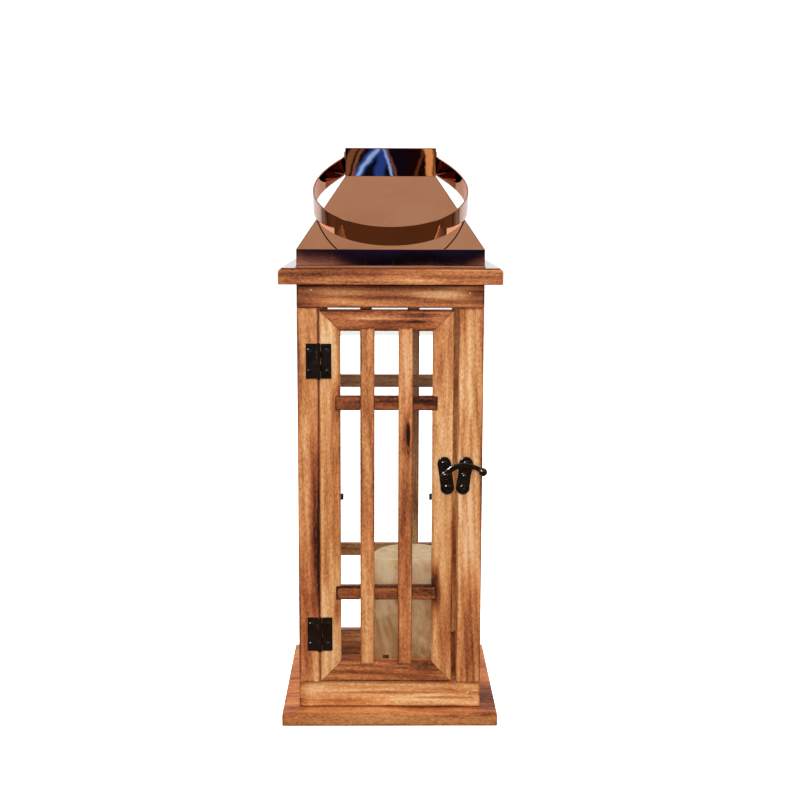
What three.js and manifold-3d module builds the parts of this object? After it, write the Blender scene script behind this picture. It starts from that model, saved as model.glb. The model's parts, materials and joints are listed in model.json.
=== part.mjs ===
/**
 * Hanging candle lantern: a fir cabinet with lattice sides and a glazed lattice
 * door, under a copper roof with a chimney and a swinging strap handle.
 *
 * Millimetres, +Z up. The origin is the middle of the base board's underside,
 * +X is to the right of someone facing the door, and +Y points to the back.
 */
import * as THREE from 'three';
import { mergeVertices } from 'three/addons/utils/BufferGeometryUtils.js';
import Module from 'manifold-3d';

const wasm = await Module();
wasm.setup();

// ---------------------------------------------------------------- dimensions

/** Clearance round a piece that turns in another, or that stands free beside it. */
const FIT = 0.3;
/** Glue line between two timbers, or between a board and what stands on it. */
const SEAM = 0.2;
/** Air under hardware that is screwed down on a face, and round a slat let tightly into a frame. */
const SEAT = 0.1;
/** How far a cutting body runs past the face that it opens. */
const PAST = 5;

/** Square boards under and over the cabinet. */
const board = { side: 200, baseThickness: 13, topThickness: 13.5, easing: 2.5, ventRadius: 24 };

/** The cabinet: rails at the bottom and top, with posts standing between them. */
const cabinet = { side: 169, height: 396.3, timber: 19, bottomRail: 23.3, topRail: 21.5 };
const postWidth = { frontLeft: 19, frontRight: 22.5, back: 21 };

/** Lattice slats in the three fixed sides, half-lapped where they cross. */
const sideLattice = {
  uprightWidth: 12, barHeight: 12.5, thickness: 8, spread: 24.25, rise: 88.5, barSetback: 0.6,
  uprightLet: -SEAM, barLet: -SEAM,
};
const latticeRecess = 3;

/** Window glass: the fixed panes sit in grooves, the door's pane in a rebate. */
const glass = { thickness: 2, grooveDepth: 4, setback: 12.6 };

/** The door, a mitred frame with a moulded inner edge, and the gaps round it. */
const door = { thickness: 13, member: 19, hingeGap: 1, latchGap: 4.5, topGap: 2.3, bottomGap: 1.5 };
const moulding = { width: 6, depth: 4.5, easing: 0.8, steps: 6 };
const doorLattice = {
  uprightWidth: 13, barHeight: 13, thickness: 7.4, spread: 17.4, rise: 89, barSetback: 1,
  uprightLet: 3, barLet: 4.5,
};
const doorLatticeRecess = 0.6;
const glassLap = 6;

/** Bent clips that hold the door's glass against its rebate. */
const clip = { width: 6, thickness: 0.9, foot: 7.5, overhang: 2.4 };

/** Two butt hinges on the front face, with an odd number of knuckles. */
const hinge = {
  height: 32, leafWidth: 11.5, leafThickness: 1.2, fromDoorEnd: 46,
  barrelRadius: 1.9, boreRadius: 1.05, pinRadius: 0.95, pinHead: 0.6, knuckles: 5,
};
const leafHole = { radius: 1.3, fromEdge: 3.2, fromEnd: 6.5 };

/** Swing latch: an arm on the door's plate drops over a stud on the post's plate. */
const latch = {
  height: 234.5, plateThickness: 2.2, armThickness: 2.8, doorPlateInset: 6.6, catchPlateInset: 6,
  pinRadius: 1.5, bossRadius: 5, studRadius: 2.4, armWidth: 5.2, knobRadius: 4,
};
/** Lobes and waist of a latch plate, measured from its middle. The lower lobe leans to the gap. */
const latchPlate = { lobeRadius: 6.4, lobeOffset: 11.2, waistHalf: 6.1, lean: 1.5, lobeSweep: 200 };
/** The arm's arch and knob, measured from its pivot: right, then up. */
const armArch = {
  riseReach: 4.5, crownReach: 22.5, crownRise: 12.5, knobReach: 33.6, knobRise: 4.4,
};
/** Domed heads, as radius and height at places from the rim to the crown, in parts of the whole. */
const pinHead = { radius: 3, height: 1.5, dome: [[1, 0], [0.85, 0.6], [0.45, 0.93], [0, 1]] };

/** Copper roof: flange, upright skirt, four slopes and a collar for the chimney. */
const sheet = 1;
const roof = {
  flangeHalf: 97.5, skirtHalf: 84.5, skirtHeight: 17, slopeHeight: 65.2, footBend: 2, collar: 6,
};
const chimney = { half: 41.6, height: 25.8, edgeBend: 0.8 };
const chimneyVent = { radius: 3, pitch: 17, rows: 3 };

/** Strap handle: two tabs on the chimney's sides, and a wide bow between them. */
const strap = {
  width: 19.5, thickness: 1.3, sideGap: 1, tabBack: 9, tabRound: 6, straight: 6,
  bowHalf: 69.75, bowSide: 66, bowRise: 63.1, pivotDrop: 12.5,
};
/** Shoulder of the strap, where it leaves the tab and swells into the bow. */
const shoulder = { leaveReach: 7.5, leaveRise: 10, meetRise: 28 };
const rivet = {
  radius: 2, tailRadius: 3.5, tailFace: 2.8, tailHeight: 1.5, collarRadius: 3.6,
};
const rivetHead = { radius: 4.4, height: 1.9, dome: [[1, 0], [0.9, 0.5], [0.6, 0.86], [0, 1]] };

/** Pillar candle, standing off centre on the base board. */
const candle = {
  radius: 38, height: 127, edge: 2.5, dish: 2, dishRadius: 23, x: 21, y: 0,
};
const wick = { radius: 0.8, rise: 7, depth: 15 };

/** Facets round the small round pieces, round their holes, and round the candle. */
const ROUND = 20;
const HOLE_ROUND = 12;
const CANDLE_ROUND = 48;
/** Steps along the strap's half outline, and the closer ones that settle where it rests. */
const STRAP_STEPS = 40;
const REST_STEPS = 400;
const REST_HALVINGS = 30;

// ------------------------------------------------------------ derived places

const halfBoard = board.side / 2;
const half = cabinet.side / 2;
const front = -half;
const railBottomZ = board.baseThickness + SEAM;
const openBottomZ = railBottomZ + cabinet.bottomRail;
const cabinetTopZ = railBottomZ + cabinet.height;
const openTopZ = cabinetTopZ - cabinet.topRail;
const openHeight = openTopZ - openBottomZ;
const openMiddleZ = (openTopZ + openBottomZ) / 2;
const topBoardZ = cabinetTopZ + SEAM;
const roofZ = topBoardZ + board.topThickness + SEAT;

const doorLeft = front + postWidth.frontLeft + door.hingeGap;
const doorRight = half - postWidth.frontRight - door.latchGap;
const doorWidth = doorRight - doorLeft;
const doorHeight = openHeight - door.topGap - door.bottomGap;
const doorBottomZ = openBottomZ + door.bottomGap;
const rebateDepth = doorLatticeRecess + doorLattice.barSetback + doorLattice.thickness;

// ------------------------------------------------------------------- helpers

const colour = {
  wood: { color: 0xc48a55, roughness: 0.6, metalness: 0 },
  redWood: { color: 0x9c5a34, roughness: 0.6, metalness: 0 },
  glass: { color: 0xeef4f2, roughness: 0.05, metalness: 0, transparent: true, opacity: 0.25 },
  copper: { color: 0xc9855f, roughness: 0.08, metalness: 1 },
  blackIron: { color: 0x17130f, roughness: 0.35, metalness: 0.7 },
  wax: { color: 0xd8c69c, roughness: 0.55, metalness: 0 },
  cotton: { color: 0x3a332a, roughness: 0.9, metalness: 0 },
};

/** A named piece, with its own material. */
function piece(name, geometry, finish) {
  const mesh = new THREE.Mesh(geometry, new THREE.MeshStandardMaterial(finish));
  mesh.name = name;
  return mesh;
}

/** The closed solid that a geometry bounds. */
function solidOf(geometry) {
  const bare = geometry.clone();
  bare.deleteAttribute('normal');
  bare.deleteAttribute('uv');
  const merged = mergeVertices(bare);
  return new wasm.Manifold(new wasm.Mesh({
    numProp: 3,
    vertProperties: new Float32Array(merged.attributes.position.array),
    triVerts: new Uint32Array(merged.index.array),
  }));
}

/** The geometry of a solid's surface. */
function geometryOf(solid) {
  const { vertProperties, triVerts } = solid.getMesh();
  const geometry = new THREE.BufferGeometry();
  geometry.setAttribute('position', new THREE.BufferAttribute(new Float32Array(vertProperties), 3));
  geometry.setIndex(new THREE.BufferAttribute(new Uint32Array(triVerts), 1));
  geometry.computeVertexNormals();
  return geometry;
}

/** The first geometry with all the others joined on. */
function join(first, ...others) {
  return geometryOf(others.reduce((solid, other) => solid.add(solidOf(other)), solidOf(first)));
}

/** The first geometry with all the others cut away. */
function cut(first, ...others) {
  return geometryOf(others.reduce((solid, other) => solid.subtract(solidOf(other)), solidOf(first)));
}

/** What two geometries share. */
function common(first, second) {
  return geometryOf(solidOf(first).intersect(solidOf(second)));
}

/** A block between two opposite corners. */
function block([x0, y0, z0], [x1, y1, z1]) {
  const geometry = new THREE.BoxGeometry(x1 - x0, y1 - y0, z1 - z0);
  return geometry.translate((x0 + x1) / 2, (y0 + y1) / 2, (z0 + z1) / 2);
}

/** A cylinder from one height to another on an axis through the origin: 'x', 'y' or 'z'. */
function rod(axis, radius, from, to, facets = ROUND) {
  const geometry = new THREE.CylinderGeometry(radius, radius, to - from, facets);
  geometry.translate(0, (from + to) / 2, 0);
  if (axis === 'x') geometry.rotateZ(-Math.PI / 2);
  if (axis === 'z') geometry.rotateX(Math.PI / 2);
  return geometry;
}

/** Points of a circular arc; angles in degrees, anticlockwise from +X. */
function arc(x, y, radius, from, to, steps) {
  return Array.from({ length: steps + 1 }, (_, i) => {
    const angle = THREE.MathUtils.degToRad(from + ((to - from) * i) / steps);
    return new THREE.Vector2(x + radius * Math.cos(angle), y + radius * Math.sin(angle));
  });
}

/** A flat outline given a thickness along +Z. */
function extrude(shape, depth) {
  return new THREE.ExtrudeGeometry(shape, { depth, bevelEnabled: false, curveSegments: 8 });
}

/** A square solid of revolution: the profile gives half-width and height. */
function squareTurned(profile) {
  const corner = profile.map(({ x, y }) => new THREE.Vector2(x * Math.SQRT2, y));
  return new THREE.LatheGeometry(corner, 4, Math.PI / 4).rotateX(Math.PI / 2);
}

/** A round solid of revolution about +Z: the profile gives radius and height. */
function turned(profile, facets = ROUND) {
  return new THREE.LatheGeometry(profile, facets).rotateX(Math.PI / 2);
}

const point = (x, y) => new THREE.Vector2(x, y);

/** Profile of a domed head that stands on the given height. */
function domed({ radius, height, dome }, base) {
  return dome.map(([out, up]) => point(radius * out, base + height * up));
}

// -------------------------------------------------------------------- boards

/** A square board whose upper edges are eased. */
function squareBoard(thickness) {
  const { easing } = board;
  return squareTurned([
    point(0, 0),
    point(halfBoard, 0),
    ...arc(halfBoard - easing, thickness - easing, easing, 0, 90, 4),
    point(0, thickness),
  ]);
}

function boards() {
  const base = piece('base_board', squareBoard(board.baseThickness), colour.wood);
  const vent = rod('z', board.ventRadius, -PAST, board.topThickness + PAST, CANDLE_ROUND / 2);
  const top = piece('top_board', cut(squareBoard(board.topThickness), vent), colour.wood);
  top.position.z = topBoardZ;
  return [base, top];
}

// ------------------------------------------------------------------- cabinet

/** The fixed sides: the turn that faces each outward, and the opening between its posts. */
const betweenCorners = cabinet.side - 2 * cabinet.timber;
const fixedSides = [
  { name: 'left', turn: -Math.PI / 2, out: [-1, 0], width: betweenCorners },
  { name: 'back', turn: Math.PI, out: [0, 1], width: cabinet.side - 2 * postWidth.back },
  { name: 'right', turn: Math.PI / 2, out: [1, 0], width: betweenCorners },
];

/** Puts the middle of an opening, with its outer face at y = 0, on its side of the cabinet. */
function sideMatrix({ turn, out }) {
  return new THREE.Matrix4().makeRotationZ(turn).setPosition(half * out[0], half * out[1], openMiddleZ);
}

/** A pane for an opening, with a margin all round: none for the glass, FIT for its groove. */
function pane(width, margin) {
  const x = width / 2 + glass.grooveDepth + margin;
  const z = openHeight / 2 + glass.grooveDepth + margin;
  return block([-x, glass.setback - margin, -z], [x, glass.setback + glass.thickness + margin, z]);
}

/** Grooves for the fixed panes, cut into every timber that they reach. */
const grooves = fixedSides.map((side) => pane(side.width, FIT).applyMatrix4(sideMatrix(side)));

function rails(level, z0, z1) {
  const { timber } = cabinet;
  const inner = half - timber - SEAM;
  const extents = {
    front: [[-half, -half], [half, -half + timber]],
    back: [[-half, half - timber], [half, half]],
    left: [[-half, -inner], [-half + timber, inner]],
    right: [[half - timber, -inner], [half, inner]],
  };
  return Object.entries(extents).map(([side, [low, high]]) => {
    const bar = block([...low, z0], [...high, z1]);
    return piece(`${level}_rail_${side}`, cut(bar, ...grooves), colour.wood);
  });
}

function posts() {
  const { timber } = cabinet;
  const z0 = openBottomZ + SEAM;
  const z1 = openTopZ - SEAM;
  const extents = {
    front_left: [[-half, -half], [-half + postWidth.frontLeft, -half + timber]],
    front_right: [[half - postWidth.frontRight, -half], [half, -half + timber]],
    back_left: [[-half, half - timber], [-half + postWidth.back, half]],
    back_right: [[half - postWidth.back, half - timber], [half, half]],
  };
  return Object.entries(extents).map(([corner, [low, high]]) => {
    const bar = block([...low, z0], [...high, z1]);
    return piece(`post_${corner}`, cut(bar, ...grooves), colour.wood);
  });
}

// ------------------------------------------------------------------- lattice

/**
 * Two uprights and two cross bars in an opening, centred on it, with the uprights'
 * outer faces at y = 0. They are half-lapped: the upright keeps its outer half.
 */
function lattice(prefix, width, height, slat, barFinish) {
  const { thickness, barSetback, spread, rise } = slat;
  const lap = (thickness + barSetback) / 2;
  const back = barSetback + thickness;
  const signs = [-1, 1];
  const uprightEnd = height / 2 + slat.uprightLet;
  const barEnd = width / 2 + slat.barLet;

  const uprights = signs.map((sign) => {
    const x0 = sign * spread - slat.uprightWidth / 2;
    const x1 = sign * spread + slat.uprightWidth / 2;
    const laps = signs.map((level) => block(
      [x0 - PAST, lap, level * rise - slat.barHeight / 2 - FIT],
      [x1 + PAST, back + PAST, level * rise + slat.barHeight / 2 + FIT],
    ));
    const bar = block([x0, 0, -uprightEnd], [x1, thickness, uprightEnd]);
    return piece(`${prefix}_upright_${sign < 0 ? 'a' : 'b'}`, cut(bar, ...laps), colour.wood);
  });

  const bars = signs.map((level) => {
    const z0 = level * rise - slat.barHeight / 2;
    const z1 = level * rise + slat.barHeight / 2;
    const laps = signs.map((sign) => block(
      [sign * spread - slat.uprightWidth / 2 - FIT, -PAST, z0 - PAST],
      [sign * spread + slat.uprightWidth / 2 + FIT, lap + FIT, z1 + PAST],
    ));
    const bar = block([-barEnd, barSetback, z0], [barEnd, back, z1]);
    return piece(`${prefix}_bar_${level < 0 ? 'lower' : 'upper'}`, cut(bar, ...laps), barFinish);
  });

  return [...uprights, ...bars];
}

/** The lattice and the glass of one fixed side. */
function fixedSide(side) {
  const slats = new THREE.Group();
  slats.add(...lattice(side.name, side.width, openHeight, sideLattice, colour.wood));
  slats.position.y = latticeRecess;
  const group = new THREE.Group();
  group.add(slats, piece(`${side.name}_glass`, pane(side.width, 0), colour.glass));
  group.applyMatrix4(sideMatrix(side));
  return group;
}

// ---------------------------------------------------------------------- door

/** Section of a door member: x from its outer edge to its inner edge, y from front to back. */
function memberSection() {
  const { member, thickness } = door;
  const { width, depth, easing, steps } = moulding;
  const round = Array.from({ length: steps + 1 }, (_, i) => {
    const angle = (Math.PI / 2) * (i / steps);
    return point(member - width + width * Math.sin(angle), depth * (1 - Math.cos(angle)));
  });
  const lip = member - glassLap - FIT;
  return new THREE.Shape([
    point(0, easing),
    point(easing, 0),
    ...round,
    point(member, rebateDepth + FIT),
    point(lip, rebateDepth + FIT),
    point(lip, thickness),
    point(0, thickness),
  ]);
}

/** A member with mitred ends, running along +Z, with pockets for the slats let into it. */
function doorMember(name, length, slatOffset, slatWidth, slatLet) {
  const bar = extrude(memberSection(), length);
  const position = bar.attributes.position;
  for (let i = 0; i < position.count; i += 1) {
    const mitre = position.getX(i) + SEAM;
    position.setZ(i, position.getZ(i) > length / 2 ? length - mitre : mitre);
  }
  const pockets = [-1, 1].map((sign) => {
    const middle = length / 2 + sign * slatOffset;
    return block(
      [door.member - slatLet - SEAT, -PAST, middle - slatWidth / 2 - SEAT],
      [door.member + PAST, rebateDepth + PAST, middle + slatWidth / 2 + SEAT],
    );
  });
  return piece(name, cut(bar, ...pockets), colour.wood);
}

/** The mitred frame, lying in the door's own axes: x right, y into the cabinet, z up. */
function doorFrame() {
  const { uprightWidth, uprightLet, barHeight, barLet, spread, rise } = doorLattice;
  const stile = (name) => doorMember(name, doorHeight, rise, barHeight, barLet);
  const rail = (name) => doorMember(name, doorWidth, spread, uprightWidth, uprightLet);

  const left = stile('door_stile_left');
  const right = stile('door_stile_right');
  right.rotation.y = Math.PI;
  right.position.set(doorWidth, 0, doorHeight);
  const top = rail('door_rail_top');
  top.rotation.y = Math.PI / 2;
  top.position.z = doorHeight;
  const bottom = rail('door_rail_bottom');
  bottom.rotation.y = -Math.PI / 2;
  bottom.position.x = doorWidth;
  return [left, right, top, bottom];
}

function doorLatticeAndGlass() {
  const inset = door.member;
  const slats = new THREE.Group();
  slats.add(...lattice(
    'door', doorWidth - 2 * inset, doorHeight - 2 * inset, doorLattice, colour.redWood,
  ));
  slats.position.set(doorWidth / 2, doorLatticeRecess, doorHeight / 2);

  const edge = door.member - glassLap;
  const y = rebateDepth + 2 * FIT;
  const glassPane = block([edge, y, edge], [doorWidth - edge, y + glass.thickness, doorHeight - edge]);
  return [slats, piece('door_glass', glassPane, colour.glass)];
}

/** A bent clip: its foot is screwed to a member's back, its tongue lies on the glass. */
function glassClip(name) {
  const footY = door.thickness + SEAT;
  const tongueY = rebateDepth + 2 * FIT + glass.thickness + FIT;
  const bendX = door.member - glassLap - FIT;
  const { thickness, width, foot, overhang } = clip;
  const section = new THREE.Shape([
    point(bendX - foot, footY),
    point(bendX + FIT, footY),
    point(bendX + FIT, tongueY),
    point(door.member + overhang, tongueY),
    point(door.member + overhang, tongueY + thickness),
    point(bendX + FIT + thickness, tongueY + thickness),
    point(bendX + FIT + thickness, footY + thickness),
    point(bendX - foot, footY + thickness),
  ]);
  const geometry = extrude(section, width).translate(0, 0, -width / 2);
  return piece(name, geometry, colour.blackIron);
}

/** One clip on each member: the top one behind an upright, the others in the middle. */
function glassClips() {
  const left = glassClip('door_clip_left');
  left.position.z = doorHeight / 2;
  const right = glassClip('door_clip_right');
  right.rotation.y = Math.PI;
  right.position.set(doorWidth, 0, doorHeight / 2);
  const top = glassClip('door_clip_top');
  top.rotation.y = Math.PI / 2;
  top.position.set(doorWidth / 2 + doorLattice.spread, 0, doorHeight);
  const bottom = glassClip('door_clip_bottom');
  bottom.rotation.y = -Math.PI / 2;
  bottom.position.x = doorWidth / 2;
  return [left, right, top, bottom];
}

// -------------------------------------------------------------------- hinges

/** The hinges' axis, in the gap between the post and the door. */
const hingeX = doorLeft - door.hingeGap / 2;
const hingeY = front - SEAT - hinge.barrelRadius;
const hingeHeights = {
  lower: doorBottomZ + hinge.fromDoorEnd,
  upper: doorBottomZ + doorHeight - hinge.fromDoorEnd,
};

/** A leaf that reaches along +X, with every second knuckle, the first one at the given place. */
function hingeLeaf(firstKnuckle) {
  const { height, leafWidth, leafThickness, barrelRadius, knuckles } = hinge;
  const pitch = height / knuckles;
  const leafY = barrelRadius - leafThickness;
  let leaf = block([0, leafY, -height / 2], [leafWidth, leafY + leafThickness, height / 2]);
  for (let k = 0; k < knuckles; k += 1) {
    const low = -height / 2 + k * pitch;
    const reach = barrelRadius + FIT;
    if (k % 2 === firstKnuckle) {
      leaf = join(leaf, rod('z', barrelRadius, low + FIT / 2, low + pitch - FIT / 2));
    } else {
      leaf = cut(leaf, block([-reach, -reach, low - FIT / 2], [reach, reach, low + pitch + FIT / 2]));
    }
  }
  const holes = [-1, 1].map((sign) => rod('y', leafHole.radius, -PAST, PAST, HOLE_ROUND)
    .translate(leafWidth - leafHole.fromEdge, 0, sign * (height / 2 - leafHole.fromEnd)));
  return cut(leaf, rod('z', hinge.boreRadius, -height, height), ...holes);
}

/** The pin, with a small head at each end of the barrel. */
function hingePin() {
  const { pinRadius, pinHead, barrelRadius, height } = hinge;
  const end = height / 2 + FIT;
  return turned([
    point(0, -end - pinHead),
    point(barrelRadius - pinHead, -end - pinHead),
    point(barrelRadius, -end),
    point(pinRadius, -end),
    point(pinRadius, end),
    point(barrelRadius, end),
    point(barrelRadius - pinHead, end + pinHead),
    point(0, end + pinHead),
  ]);
}

function hinges() {
  return Object.entries(hingeHeights).map(([level, z]) => {
    const group = new THREE.Group();
    group.position.set(hingeX, hingeY, z);
    const doorLeaf = piece(`hinge_${level}_door_leaf`, hingeLeaf(1), colour.blackIron);
    const postLeaf = piece(`hinge_${level}_post_leaf`, hingeLeaf(0), colour.blackIron);
    postLeaf.rotation.y = Math.PI;
    group.add(doorLeaf, postLeaf, piece(`hinge_${level}_pin`, hingePin(), colour.blackIron));
    return group;
  });
}

// --------------------------------------------------------------------- latch

/** The latch's pivot on the door and its stud on the post. */
const latchPivotX = doorRight - latch.doorPlateInset;
const latchStudX = half - postWidth.frontRight + latch.catchPlateInset;
const latchPlateY = front - SEAT;
const armY = latchPlateY - latch.plateThickness - FIT;

/** Outline of a latch plate in x and z: two round lobes joined by a waist, the lower one leaning. */
function plateOutline(towards) {
  const { lobeRadius, lobeOffset, waistHalf, lean, lobeSweep } = latchPlate;
  const start = (180 - lobeSweep) / 2;
  const lobe = (side) => arc(
    -side * towards * lean, side * lobeOffset, lobeRadius,
    start + (side < 0 ? 180 : 0), start + lobeSweep + (side < 0 ? 180 : 0), ROUND,
  );
  return new THREE.Shape([...lobe(1), point(-waistHalf, 0), ...lobe(-1), point(waistHalf, 0)]);
}

/** Turns an outline drawn in x and z into a plate whose back lies at y = 0. */
function facePlate(shape, thickness) {
  return extrude(shape, thickness).rotateX(Math.PI / 2);
}

function latchDoorPlate() {
  const hole = rod('y', latch.pinRadius + SEAT, -PAST, PAST);
  const geometry = cut(facePlate(plateOutline(1), latch.plateThickness), hole);
  const plate = piece('latch_door_plate', geometry, colour.blackIron);
  plate.position.set(latchPivotX, latchPlateY, latch.height);
  return plate;
}

function latchCatchPlate() {
  const reach = latch.plateThickness + FIT + latch.armThickness;
  const stud = rod('y', latch.studRadius, -reach, -SEAT);
  const geometry = join(facePlate(plateOutline(-1), latch.plateThickness), stud);
  const plate = piece('latch_catch_plate', geometry, colour.blackIron);
  plate.position.set(latchStudX, latchPlateY, latch.height);
  return plate;
}

/** The arm: a boss on the pivot, an arch over the stud, and a ball to lift it by. */
function latchArm() {
  const { riseReach, crownReach, crownRise, knobReach, knobRise } = armArch;
  const { armThickness, armWidth, bossRadius, pinRadius, studRadius, knobRadius } = latch;
  const curve = new THREE.CubicBezierCurve(
    point(0, 0), point(riseReach, crownRise), point(crownReach, crownRise), point(knobReach, knobRise),
  );
  const side = (sign) => Array.from({ length: ROUND + 1 }, (_, i) => {
    const along = curve.getPoint(i / ROUND);
    const tangent = curve.getTangent(i / ROUND);
    return point(along.x - sign * tangent.y * armWidth / 2, along.y + sign * tangent.x * armWidth / 2);
  });
  const arch = facePlate(new THREE.Shape([...side(-1), ...side(1).reverse()]), armThickness);
  const boss = rod('y', bossRadius, -armThickness, 0);
  const knob = new THREE.SphereGeometry(knobRadius, ROUND, ROUND / 2)
    .translate(knobReach, -knobRadius, knobRise);
  const studGap = rod('y', studRadius + FIT, -PAST, PAST).translate(latchStudX - latchPivotX, 0, 0);
  const pinHole = rod('y', pinRadius + SEAT, -PAST, PAST);
  const arm = piece('latch_arm', cut(join(arch, boss, knob), studGap, pinHole), colour.blackIron);
  arm.position.set(latchPivotX, armY, latch.height);
  return arm;
}

/** The pivot pin, set in the plate, with a domed head in front of the arm. */
function latchPin() {
  const { pinRadius, armThickness, plateThickness } = latch;
  const headY = armThickness + FIT;
  const pin = turned([
    point(0, -FIT - plateThickness),
    point(pinRadius, -FIT - plateThickness),
    point(pinRadius, headY),
    ...domed(pinHead, headY),
  ]);
  const mesh = piece('latch_pivot_pin', pin, colour.blackIron);
  mesh.rotation.x = Math.PI / 2;
  mesh.position.set(latchPivotX, armY, latch.height);
  return mesh;
}

// ---------------------------------------------------------------------- roof

const slopeRun = roof.skirtHalf - chimney.half;
const slopeRatio = slopeRun / roof.slopeHeight;
const slopeLength = Math.hypot(slopeRun, roof.slopeHeight);
const sheetAcross = sheet * slopeLength / roof.slopeHeight;
const roofTopZ = roofZ + roof.skirtHeight + roof.slopeHeight;
const chimneyTopZ = roofTopZ + chimney.height;
const strapPivotZ = chimneyTopZ - strap.pivotDrop;

/** Height above the roof's foot where its outer slope has the given half-width. */
function slopeHeightAt(halfWidth) {
  return roof.skirtHeight + (roof.skirtHalf - halfWidth) / slopeRatio;
}

/** Flange, skirt, slopes and collar, folded from one sheet. */
function roofCap() {
  const { flangeHalf, skirtHalf, footBend, collar } = roof;
  const collarHalf = chimney.half - sheet - FIT;
  const collarTop = slopeHeightAt(collarHalf) + collar;
  const innerSkirt = skirtHalf - sheet;
  const innerCollar = collarHalf - sheet;
  const innerSlopeHeight = (halfWidth) => slopeHeightAt(halfWidth + sheetAcross);
  const footArc = arc(skirtHalf + footBend, sheet + footBend, footBend, 270, 180, 4);
  const profile = [
    point(flangeHalf, 0),
    point(flangeHalf, sheet),
    ...footArc,
    point(skirtHalf, roof.skirtHeight),
    point(collarHalf, slopeHeightAt(collarHalf)),
    point(collarHalf, collarTop),
    point(innerCollar, collarTop),
    point(innerCollar, innerSlopeHeight(innerCollar)),
    point(innerSkirt, innerSlopeHeight(innerSkirt)),
    point(innerSkirt, 0),
    point(flangeHalf, 0),
  ];
  const cap = piece('roof_cap', squareTurned(profile), colour.copper);
  cap.position.z = roofZ;
  return cap;
}

/** A square box, open below, with its foot bevelled to sit on the slopes, and a vented lid. */
function chimneyBox() {
  const inner = chimney.half - sheet;
  const top = chimneyTopZ - roofZ;
  const bend = chimney.edgeBend;
  const box = squareTurned([
    point(0, top - sheet),
    point(inner, top - sheet),
    point(inner, slopeHeightAt(inner) + FIT),
    point(chimney.half, slopeHeightAt(chimney.half) + FIT),
    ...arc(chimney.half - bend, top - bend, bend, 0, 90, 3),
    point(0, top),
  ]);
  const middle = (chimneyVent.rows - 1) / 2;
  const vents = [];
  for (let row = 0; row < chimneyVent.rows; row += 1) {
    for (let column = 0; column < chimneyVent.rows; column += 1) {
      const x = (column - middle) * chimneyVent.pitch;
      const y = (row - middle) * chimneyVent.pitch;
      vents.push(rod('z', chimneyVent.radius, top - PAST, top + PAST).translate(x, y, 0));
    }
  }
  const rivetHoles = rod('x', rivet.radius + SEAT, -roof.skirtHalf, roof.skirtHalf)
    .translate(0, 0, strapPivotZ - roofZ);
  const mesh = piece('chimney', cut(box, ...vents, rivetHoles), colour.copper);
  mesh.position.z = roofZ;
  return mesh;
}

// -------------------------------------------------------------------- handle

const tabX = chimney.half + strap.sideGap + strap.thickness / 2;

/** Middle line of the strap's right half, from the tab's end to the top of the bow. */
function strapHalfPath() {
  const { tabBack, straight, bowHalf, bowSide, bowRise } = strap;
  const path = new THREE.CurvePath();
  path.add(new THREE.LineCurve(point(tabX, -tabBack), point(tabX, straight)));
  path.add(new THREE.CubicBezierCurve(
    point(tabX, straight),
    point(tabX + shoulder.leaveReach, straight + shoulder.leaveRise),
    point(bowHalf, bowSide - shoulder.meetRise),
    point(bowHalf, bowSide),
  ));
  path.add(new THREE.EllipseCurve(0, bowSide, bowHalf, bowRise, 0, Math.PI / 2));
  return path;
}

/** The strap's outer or inner line, seen along its width: the middle line moved outward. */
function strapLine(outward, steps) {
  const right = strapHalfPath().getSpacedPoints(steps);
  const left = right.slice(0, -1).reverse().map(({ x, y }) => point(-x, y));
  const middle = [...right, ...left];
  return middle.map((here, i) => {
    const before = middle[Math.max(i - 1, 0)];
    const after = middle[Math.min(i + 1, middle.length - 1)];
    const along = after.clone().sub(before).normalize();
    return point(here.x + along.y * outward, here.y - along.x * outward);
  });
}

function strapOutline() {
  const outer = strapLine(strap.thickness / 2, STRAP_STEPS);
  const inner = strapLine(-strap.thickness / 2, STRAP_STEPS);
  return new THREE.Shape([...outer, ...inner.reverse()]);
}

/** Side view of the strap, as long as it needs to be, with rounded tab ends. */
function strapSideView() {
  const { width, tabBack, tabRound, bowSide, bowRise } = strap;
  const edge = width / 2;
  const end = bowSide + bowRise + PAST;
  return new THREE.Shape([
    ...arc(-tabBack + tabRound, -edge + tabRound, tabRound, 180, 270, 5),
    point(end, -edge),
    point(end, edge),
    ...arc(-tabBack + tabRound, edge - tabRound, tabRound, 90, 180, 5),
  ]);
}

/** The strap in its own axes: x across, y away from the pivot, z along its width. */
function strapGeometry() {
  const { width, bowHalf } = strap;
  const bent = extrude(strapOutline(), width).translate(0, 0, -width / 2);
  const reach = bowHalf + PAST;
  const sideView = extrude(strapSideView(), 2 * reach).translate(0, 0, -reach)
    .applyMatrix4(new THREE.Matrix4().makeBasis(
      new THREE.Vector3(0, 1, 0), new THREE.Vector3(0, 0, 1), new THREE.Vector3(1, 0, 0),
    ));
  const pivotHoles = rod('x', rivet.radius + SEAT, -reach, reach);
  return cut(common(bent, sideView), pivotHoles);
}

/** How far outside the roof a place is, measured level. */
function clearOfRoof(x, y, z) {
  const slopeHalf = roof.skirtHalf - (z - roofZ - roof.skirtHeight) * slopeRatio;
  return Math.max(Math.abs(x), Math.abs(y)) - Math.min(slopeHalf, roof.skirtHalf);
}

/** Tilt below level at which the strap's lower inner edge comes to rest on the front hips. */
function restTilt() {
  const edge = strapLine(-strap.thickness / 2, REST_STEPS);
  const lower = strap.width / 2;
  let level = 0;
  let steep = Math.PI / 2;
  for (let halving = 0; halving < REST_HALVINGS; halving += 1) {
    const tilt = (level + steep) / 2;
    const sin = Math.sin(tilt);
    const cos = Math.cos(tilt);
    const clear = edge.every(({ x, y }) => (
      clearOfRoof(x, lower * sin - y * cos, strapPivotZ - y * sin - lower * cos) > FIT
    ));
    if (clear) level = tilt;
    else steep = tilt;
  }
  return level;
}

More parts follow.
